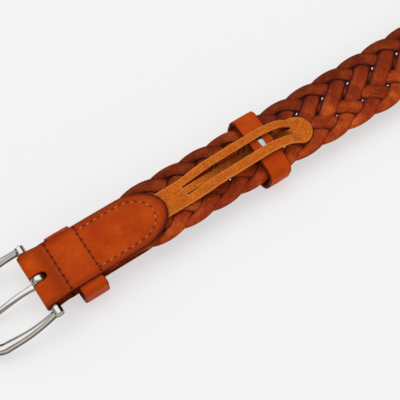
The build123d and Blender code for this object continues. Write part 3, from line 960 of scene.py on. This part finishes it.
def make_stitches(name, holes, levels, node, slant, rise):
    """Each visible stitch is a short arched thread between two holes, diving in at both ends."""
    ring = 8
    stations = 9
    points = []
    faces = []
    uvs = []
    for level, side in levels:
        for index, ((u0, v0), (u1, v1)) in enumerate(zip(holes[:-1], holes[1:])):
            uneven = math.sin(index * 2.4) + 0.6 * math.sin(index * 5.1 + 1)
            reach = math.hypot(u1 - u0, v1 - v0) * (1 + 0.10 * uneven) * STITCH_SHARE / 2
            heading = math.atan2(v1 - v0, u1 - u0) + slant * (1 + 0.4 * uneven)
            du, dv = math.cos(heading), math.sin(heading)
            base = len(points)
            for k in range(stations):
                t = k / (stations - 1) * 2 - 1
                center_u = (u0 + u1) / 2 + du * t * reach
                center_v = (v0 + v1) / 2 + dv * t * reach
                lift = rise - STITCH_DIVE * t**4
                size = THREAD_RADIUS * (1 - 0.3 * abs(t) ** 3)
                for j in range(ring):
                    a = 2 * math.pi * j / ring
                    points.append((
                        center_u - dv * size * math.cos(a),
                        center_v + du * size * math.cos(a),
                        level + side * (lift + size * math.sin(a)),
                    ))
                    uvs.append((k * 1.2, j / ring * 2))
            faces += [[base + i for i in face] for face in tube_faces(stations, ring)]
    piece = outward(make_object(name, to_row(points), faces, uvs))
    settle(piece, THREAD, "strap", node)


# ---------------------------------------------------------------- belt tip
TIP_NOSE = 22.0 * MM
TIP_STRAIGHT = BELT_END - TIP_NOSE
TIP_HOLES = edge_line(TIP_START + 3 * MM, TIP_STRAIGHT, TIP_NOSE)


def make_tip_leaf(name, node, level, side):
    """One leaf of the belt's tip; side is 1 for the leaf on the back and -1 for the one below."""
    stations = np.concatenate([
        TIP_START + np.array([0, 0.08, 0.25, 0.5, 0.8]) * MM,
        np.arange(TIP_START + 1.3 * MM, TIP_STRAIGHT, 0.7 * MM),
        TIP_STRAIGHT + TIP_NOSE * np.sin(np.linspace(0, np.pi / 2, 50)),
    ])
    if side < 0:
        stations = stations[::-1]
    path = np.stack([stations, np.full(len(stations), level)], -1)
    half = np.maximum(nosed(stations, TIP_STRAIGHT, TIP_NOSE), LEAST_HALF)

    def distance(row, v):
        end_distance = nose_distance(stations[row], v, TIP_STRAIGHT, TIP_NOSE, half[row])
        return np.minimum(end_distance, stations[row] - TIP_START)

    def relief(row, v):
        place = np.broadcast_to(stations[row], v.shape)
        return groove(TIP_HOLES, place, v, 0.60 * MM, 0.20 * MM, 0.50 * MM, 0.75 * MM), 0 * v

    piece = make_strip(name, path, half, LEAF, distance, relief, 110, 0.9 * MM)
    settle(piece, TAN, "strap", node)


make_tab()
make_fixed_keeper()
make_sliding_keeper()
make_slotted_strip()
make_tip_leaf("tip_lining_leather", "tip_lining", LAYER + LEAF / 2, 1)
make_tip_leaf("tip_face_leather", "tip_face", -LAYER - LEAF / 2, -1)
TAB_FACES = ((TAB_TOP, 1), (TAB_BOTTOM, -1))
TIP_FACES = ((LAYER + LEAF, 1), (-LAYER - LEAF, -1))
make_stitches("cross_thread_1", CROSS_HOLES[0], TAB_FACES, "cross_stitch_1", 0.30, -1.36 * MM)
make_stitches("cross_thread_2", CROSS_HOLES[1], TAB_FACES, "cross_stitch_2", 0.30, -0.40 * MM)
make_stitches("tab_edge_thread", TAB_HOLES, TAB_FACES, "tab_edge_stitch", 0.20, -0.14 * MM)
make_stitches("tip_edge_thread", TIP_HOLES, TIP_FACES, "tip_edge_stitch", 0.20, -0.14 * MM)

# ---------------------------------------------------------------- buckle
FRAME_REACH = 46.0 * MM
FRAME_HALF = across_size("buckle_bar") / 2
FRAME_THICKNESS = 3.6 * MM
FRAME_CROWN = 0.6 * MM                 # the polished arms are that much thicker, on the upper side
RAIL_WIDTH = 6.0 * MM
ARM_WIDTH = 6.3 * MM
ARM_END_WIDTH = 4.4 * MM
ARM_START = 1.5 * MM                   # the arms begin inside the eyes
ARM_BOW = 1.3 * MM
FRAME_CORNER = 13.0 * MM
EYE_RADIUS = 3.0 * MM
EYE_OUTER = FRAME_HALF - 0.8 * MM      # the eyes and the bar stop a little inside the arms
PRONG_THICKNESS = 2.3 * MM
PRONG_WIDTH = 4.4 * MM
PRONG_TIP_WIDTH = 3.0 * MM
PRONG_REACH = FRAME_REACH + 2.0 * MM
PRONG_HUMP = 2.0 * MM
PRONG_GAP = 0.1 * MM                   # between the prong and the rail it rests on
CURL_MIDDLE = FOLD_INNER + PRONG_THICKNESS / 2


def buckle_tilt():
    """The buckle's slope at rest: the far corner of its box is the prong's tip, on the floor."""
    depth = FRAME_THICKNESS / 2 + PRONG_GAP + PRONG_THICKNESS
    return math.asin(BAR.z / math.hypot(PRONG_REACH, depth)) - math.atan2(depth, PRONG_REACH)


TILT = buckle_tilt()
OUT = Vector((-math.cos(TILT), 0, -math.sin(TILT)))     # from the bar to the front rail
UP = Vector((-math.sin(TILT), 0, math.cos(TILT)))


def to_buckle(points):
    """(out, across, up) from the bar's axis to the row frame."""
    axes = np.array([OUT, ACROSS, UP])
    return np.asarray(points) @ axes + np.array(BAR)


SECTION_POINTS = 40
SECTION_POWER = 3.2                    # a square's corners, softened


def section_ring(half_width, half_thickness, bevel):
    """Points round a rounded bar's section: flat faces that turn over soft shoulders."""
    angle = 2 * np.pi * (np.arange(SECTION_POINTS) + 0.5) / SECTION_POINTS
    ring = np.stack([np.cos(angle), np.sin(angle)], -1)
    ring /= (np.abs(ring) ** SECTION_POWER).sum(1)[:, None] ** (1 / SECTION_POWER)
    size = np.abs(ring) * (half_width, half_thickness)
    cut = np.maximum(0, size.sum(1) - (half_width + half_thickness - bevel))
    return np.copysign(size - cut[:, None] / 2, ring)


def sweep(centers, sides, ups, widths, thicknesses, bevel):
    """A bar of bevelled section along a route; returns points row by row and faces."""
    points = []
    for center, side, up, half_width, half_thickness in zip(centers, sides, ups, widths, thicknesses):
        points += list(center + section_ring(half_width, half_thickness, bevel) @ np.array([side, up]))
    return points, tube_faces(len(centers), SECTION_POINTS)


def wall_shade(points, count):
    """1 on the side walls of a swept bar and 0 on its faces; dark reflections are painted on the walls."""
    across, up = np.abs(section_ring(1.0, 1.0, 0.0)).T
    shade = smoothstep(across - 0.45 * up, 0.42, 0.80)
    return np.concatenate([np.tile(shade, points // SECTION_POINTS), np.zeros(count - points)])


def lathe(profile, steps, closed):
    """Revolve (across, radius) points round the bar's axis; a closed profile makes a sleeve."""
    points = []
    for across, radius in profile:
        for k in range(steps):
            a = 2 * math.pi * k / steps
            points.append((radius * math.cos(a), across, radius * math.sin(a)))
    return points, tube_faces(len(profile), steps, closed)


def joined(parts):
    """Join lists of (points, faces) into one mesh's data."""
    points = []
    faces = []
    for part_points, part_faces in parts:
        faces += [[len(points) + i for i in face] for face in part_faces]
        points += [tuple(p) for p in part_points]
    return points, faces


def make_frame():
    """Front rail and two arms in one sweep, with an eye at each end."""
    arm_start = EYE_OUTER - ARM_END_WIDTH / 2
    arm_end = FRAME_HALF - ARM_WIDTH / 2
    radius = FRAME_CORNER - RAIL_WIDTH / 2
    bend = FRAME_REACH - FRAME_CORNER
    rail = FRAME_REACH - RAIL_WIDTH / 2
    half_thick = (FRAME_THICKNESS + FRAME_CROWN) / 2
    straight = np.linspace(ARM_START, bend, 30)
    bow = ARM_BOW * np.sin(straight / bend * np.pi)
    route = list(zip(straight, np.interp(straight, [0, bend], [arm_start, arm_end]) + bow))
    arm_widths = [ARM_END_WIDTH * 0.85, ARM_END_WIDTH, ARM_WIDTH]
    widths = list(np.interp(straight, [0, 10 * MM, bend], arm_widths) / 2)
    for a in np.linspace(0, np.pi / 2, 16)[1:]:
        route.append((rail - radius * (1 - math.sin(a)), arm_end - radius * (1 - math.cos(a))))
        widths.append(np.interp(a, [0, np.pi / 2], [ARM_WIDTH, RAIL_WIDTH]) / 2)
    route += [(x, -y) for x, y in route[::-1]]
    widths += widths[::-1]
    route = np.array(route)
    centers = [(x, y, FRAME_CROWN / 2) for x, y in route]
    sides = [(x, y, 0) for x, y in route_normals(route)]
    flare = list(np.interp(straight, [ARM_START, 4 * MM, 11 * MM], [2.8 * MM, 2.6 * MM, half_thick]))
    thickness = flare + [half_thick] * (len(route) - 2 * len(flare)) + flare[::-1]
    bar = sweep(centers, sides, [(0, 0, 1)] * len(route), widths, thickness, 1.7 * MM)
    inner = FOLD_WIDTH / 2 + 0.4 * MM
    soft = 0.45 * MM
    hold = 0.06 * MM
    rounding = [(0, soft + hold), (0, soft), (0.3 * soft, 0.3 * soft), (soft, 0), (soft + hold, 0)]
    profile = [(inner, BAR_RADIUS)] + [(inner + a, EYE_RADIUS - b) for a, b in rounding]
    profile += [(EYE_OUTER - a, EYE_RADIUS - b) for a, b in rounding[::-1]] + [(EYE_OUTER, BAR_RADIUS)]
    eye, eye_faces = lathe(profile, 48, closed=True)
    other = [(x, -y, z) for x, y, z in eye]
    points, faces = joined([bar, (eye, eye_faces), (other, eye_faces)])
    shade = wall_shade(len(bar[0]), len(points))
    piece = outward(make_object("buckle_frame_metal", to_buckle(points), faces, values={"shade": shade}))
    settle(piece, METAL, "buckle", "buckle_frame")


def make_bar():
    """Round bar with slightly domed, peened ends."""
    end = EYE_OUTER - 0.1 * MM
    half = [(end * 0.5, BAR_RADIUS), (end - 0.5 * MM, BAR_RADIUS), (end, BAR_RADIUS * 0.92),
            (end + 0.05 * MM, BAR_RADIUS * 0.7), (end + 0.1 * MM, BAR_RADIUS * 0.35),
            (end + 0.1 * MM, 0.02 * MM)]
    points, faces = lathe([(-across, radius) for across, radius in half[::-1]] + half, 40, closed=False)
    piece = outward(make_object("buckle_bar_metal", to_buckle(points), faces))
    settle(piece, METAL, "buckle", "buckle_bar")


def make_prong():
    """A flat bar curled over the buckle's bar, humped along its shank, and resting on the rail."""
    rail_level = -FRAME_THICKNESS / 2 - PRONG_GAP - PRONG_THICKNESS / 2
    curl = [(-CURL_MIDDLE * math.cos(a), CURL_MIDDLE * math.sin(a))
            for a in np.linspace(math.radians(152), math.radians(-90), 44)]
    hump = 0.30 * PRONG_REACH
    fall_end = FRAME_REACH - RAIL_WIDTH - 1.5 * MM
    x = np.linspace(0.6 * MM, PRONG_REACH, 70)
    fall = rail_level + CURL_MIDDLE - PRONG_HUMP
    level = -CURL_MIDDLE + PRONG_HUMP * smoothstep(x, 0, hump) + fall * smoothstep(x, hump, fall_end)
    route = np.concatenate([curl, np.stack([x, level], -1)])
    centers = [(x, 0, z) for x, z in route]
    ups = [(x, 0, z) for x, z in route_normals(route)]
    half_widths = [PRONG_WIDTH / 2, 1.8 * MM, PRONG_TIP_WIDTH / 2]
    widths = np.interp(route[:, 0], [2 * MM, 9 * MM, PRONG_REACH], half_widths)
    widths[:len(curl)] = PRONG_WIDTH / 2
    thickness = np.full(len(route), PRONG_THICKNESS / 2)
    thickness[-4:] *= np.array([0.98, 0.92, 0.8, 0.55])
    thickness[:3] *= np.array([0.80, 0.94, 0.99])
    points, faces = sweep(centers, [(0, 1, 0)] * len(route), ups, widths, thickness, 0.55 * MM)
    shade = 0.8 * wall_shade(len(points), len(points))
    piece = outward(make_object("prong_metal", to_buckle(points), faces, values={"shade": shade}))
    settle(piece, METAL, "prong", "prong")


# ---------------------------------------------------------------- staple
def make_staple():
    """A flat staple: its crown, narrower towards the near edge, lies on the keeper's lapped ends."""
    near, far = v_range("keeper_staple")
    t = np.linspace(0, 1, 15)[:, None]
    side = np.linspace(-1, 1, 9)[None, :]
    u = middle_u("keeper_staple") + side * (1.35 + 0.95 * t) * MM
    v = near + (far - near) * t + 0 * side
    w = KEEPER_TOP + STAPLE_THICKNESS / 2 + 0.16 * MM * (1 - side**2) - 0.30 * MM * (2 * t - 1) ** 6
    half = 0.24 * MM
    top = np.stack([u, v, w + half], -1)
    rings = np.concatenate([top, np.stack([u, v, w - half], -1)[:, ::-1]], 1)
    faces = tube_faces(*rings.shape[:2])
    piece = outward(make_object("keeper_staple_metal", to_row(rings.reshape(-1, 3)), faces))
    settle(piece, BRIGHT, "sliding_keeper", "keeper_staple")


make_frame()
make_bar()
make_prong()
make_staple()

# ---------------------------------------------------------------- stage, light and camera
def make_floor():
    """A pale sheet that glows a little, so that it stays near white beside the belt."""
    bpy.ops.mesh.primitive_plane_add(size=6, location=(0, 0, 0))
    floor = bpy.context.object
    floor.name = "floor"
    n = material_nodes("floor_paper")
    paper = n.finish((0.38,) * 3, 0.85, Specular_IOR_Level=0.0, Emission_Color=(1, 1, 1, 1),
                     Emission_Strength=0.53)
    put_on(floor, paper)


def make_sun(name, toward, spread, power):
    """A broad, even light from a direction, like a large softbox far away."""
    data = bpy.data.lights.new(name, "SUN")
    data.energy = power
    data.angle = spread
    lamp = bpy.data.objects.new(name, data)
    lamp.rotation_euler = Vector(toward).to_track_quat("Z", "Y").to_euler()
    bpy.context.scene.collection.objects.link(lamp)


def make_world(toward, stops, strength):
    """A soft studio dome: brightness depends on the angle from its brightest direction."""
    world = bpy.data.worlds.new("studio")
    n = Nodes(world)
    dot = n.add("ShaderNodeVectorMath")
    dot.operation = "DOT_PRODUCT"
    n.put(dot, 0, n.add("ShaderNodeTexCoord").outputs["Generated"])
    n.put(dot, 1, Vector(toward).normalized())
    color = n.ramp(n.remap(dot.outputs["Value"], -1, 1), [(place, (level,) * 3) for place, level in stops])
    background = n.tree.nodes["Background"]
    n.put(background, "Color", color)
    n.put(background, "Strength", strength)
    bpy.context.scene.world = world


CAMERA_AZIMUTH = math.radians(-35.0)
CAMERA_ELEVATION = math.radians(65.1)
CAMERA_DISTANCE = 0.526
CAMERA_ROLL = math.radians(1.08)
CAMERA_AIM = Vector((BAR.x + 0.1045, -0.0063, 0.008))


def make_camera():
    level = math.cos(CAMERA_ELEVATION)
    back = Vector((math.sin(CAMERA_AZIMUTH) * level, -math.cos(CAMERA_AZIMUTH) * level,
                   math.sin(CAMERA_ELEVATION)))
    data = bpy.data.cameras.new("camera")
    data.lens = 80
    data.sensor_width = 36
    data.clip_start = 0.01
    camera = bpy.data.objects.new("camera", data)
    right = Vector((0, 0, 1)).cross(back).normalized()
    basis = Matrix((right, back.cross(right), back)).transposed().to_4x4()
    place = Matrix.Translation(CAMERA_AIM + back * CAMERA_DISTANCE)
    camera.matrix_world = place @ basis @ Matrix.Rotation(CAMERA_ROLL, 4, "Z")
    bpy.context.scene.collection.objects.link(camera)
    bpy.context.scene.camera = camera


# Brightness from the far side of the dome (0) to the direction that it faces (1).
DOME = [(0.0, 0.02), (0.56, 0.03), (0.70, 0.35), (0.79, 1.0), (0.90, 0.90), (0.955, 0.10), (1.0, 0.06)]

bpy.context.scene.view_settings.view_transform = "Standard"
make_floor()
make_world((-0.30, -0.35, 1.0), DOME, 0.90)
make_sun("key", (0.10, 0.62, 1.0), math.radians(75), 1.55)
make_sun("fill", (-0.45, -0.80, 0.62), math.radians(100), 0.60)
make_camera()
